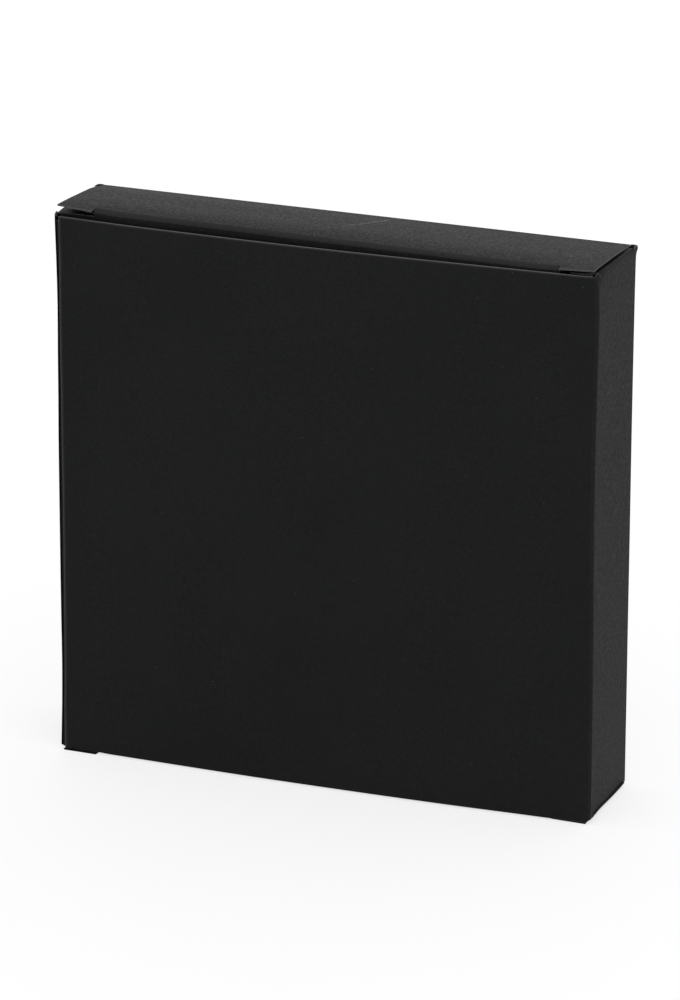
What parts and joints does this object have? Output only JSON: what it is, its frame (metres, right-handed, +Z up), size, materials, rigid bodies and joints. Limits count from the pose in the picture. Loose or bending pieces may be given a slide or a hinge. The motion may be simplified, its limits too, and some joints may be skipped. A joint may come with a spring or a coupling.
{
  "type": "folding carton",
  "caption": "Closed flat square carton of plain black card, standing upright, with tuck-in lids at top and bottom, dust flaps and a glued side seam.",
  "frame": {"origin": "middle of the overall footprint, on the floor that the bottom panel rests on", "axes": "+Z up, +Y through the depth from the front panel to the back panel, +X to the right seen from the front"},
  "size_m": [0.153, 0.0338, 0.1557],
  "materials": {
    "card_face": "uncoated dyed-through black card, matt with fine fibres",
    "card_fold": "the same card at its creases, slightly rubbed",
    "seam_glue": "dried dispersion adhesive"
  },
  "bodies": {
    "tube": {"front_panel": "card_face", "back_panel": "card_face", "left_side_panel": "card_face", "right_side_panel": "card_face", "glue_flap": "card_face", "seam_glue": "seam_glue", "front_right_crease": "card_fold", "back_right_crease": "card_fold", "back_left_crease": "card_fold", "glue_flap_crease": "card_fold", "top_hinge_crease": "card_fold", "bottom_hinge_crease": "card_fold", "top_left_dust_crease": "card_fold", "top_right_dust_crease": "card_fold", "bottom_left_dust_crease": "card_fold", "bottom_right_dust_crease": "card_fold"},
    "lid": {"lid_panel": "card_face", "top_tuck_crease": "card_fold"},
    "lid_tuck": {"top_tuck_flap": "card_face"},
    "bottom_lid": {"bottom_panel": "card_face", "bottom_tuck_crease": "card_fold"},
    "bottom_tuck": {"bottom_tuck_flap": "card_face"},
    "top_left_flap": {"top_left_dust_flap": "card_face"},
    "top_right_flap": {"top_right_dust_flap": "card_face"},
    "bottom_left_flap": {"bottom_left_dust_flap": "card_face"},
    "bottom_right_flap": {"bottom_right_dust_flap": "card_face"}
  },
  "joints": [
    {"name": "lid_hinge", "type": "hinge", "parent": "tube", "child": "lid", "pos_m": [0, 0.01654, 0.15204], "axis": [-1, 0, 0], "range_deg": [-1.5, 170], "deforming": ["top_hinge_crease"]},
    {"name": "lid_tuck_fold", "type": "hinge", "parent": "lid", "child": "lid_tuck", "pos_m": [0, -0.01278, 0.15444], "axis": [1, 0, -0.009], "range_deg": [-35, 1], "deforming": ["top_tuck_crease"]},
    {"name": "bottom_hinge", "type": "hinge", "parent": "tube", "child": "bottom_lid", "pos_m": [0, 0.01654, 0.00036], "axis": [1, 0, 0], "range_deg": [0, 170], "deforming": ["bottom_hinge_crease"]},
    {"name": "bottom_tuck_fold", "type": "hinge", "parent": "bottom_lid", "child": "bottom_tuck", "pos_m": [0, -0.01278, 0.00042], "axis": [-1, 0, 0], "range_deg": [-18, 0], "deforming": ["bottom_tuck_crease"]},
    {"name": "top_left_flap_fold", "type": "hinge", "parent": "tube", "child": "top_left_flap", "pos_m": [-0.07614, 0, 0.15149], "axis": [0, -1, 0], "range_deg": [-1, 86], "deforming": ["top_left_dust_crease"]},
    {"name": "top_right_flap_fold", "type": "hinge", "parent": "tube", "child": "top_right_flap", "pos_m": [0.07614, 0, 0.15149], "axis": [0, 1, 0], "range_deg": [-1, 86], "deforming": ["top_right_dust_crease"]},
    {"name": "bottom_left_flap_fold", "type": "hinge", "parent": "tube", "child": "bottom_left_flap", "pos_m": [-0.07614, 0, 0.00091], "axis": [0, 1, 0], "range_deg": [0, 86], "deforming": ["bottom_left_dust_crease"]},
    {"name": "bottom_right_flap_fold", "type": "hinge", "parent": "tube", "child": "bottom_right_flap", "pos_m": [0.07614, 0, 0.00091], "axis": [0, -1, 0], "range_deg": [0, 86], "deforming": ["bottom_right_dust_crease"]}
  ],
  "couplings": [
    {"joint": "lid_tuck_fold", "follows": "lid_hinge", "ratio": -0.2},
    {"joint": "top_left_flap_fold", "follows": "lid_hinge", "ratio": 0.5},
    {"joint": "top_right_flap_fold", "follows": "lid_hinge", "ratio": 0.5},
    {"joint": "bottom_tuck_fold", "follows": "bottom_hinge", "ratio": -0.1},
    {"joint": "bottom_left_flap_fold", "follows": "bottom_hinge", "ratio": 0.5},
    {"joint": "bottom_right_flap_fold", "follows": "bottom_hinge", "ratio": 0.5}
  ]
}
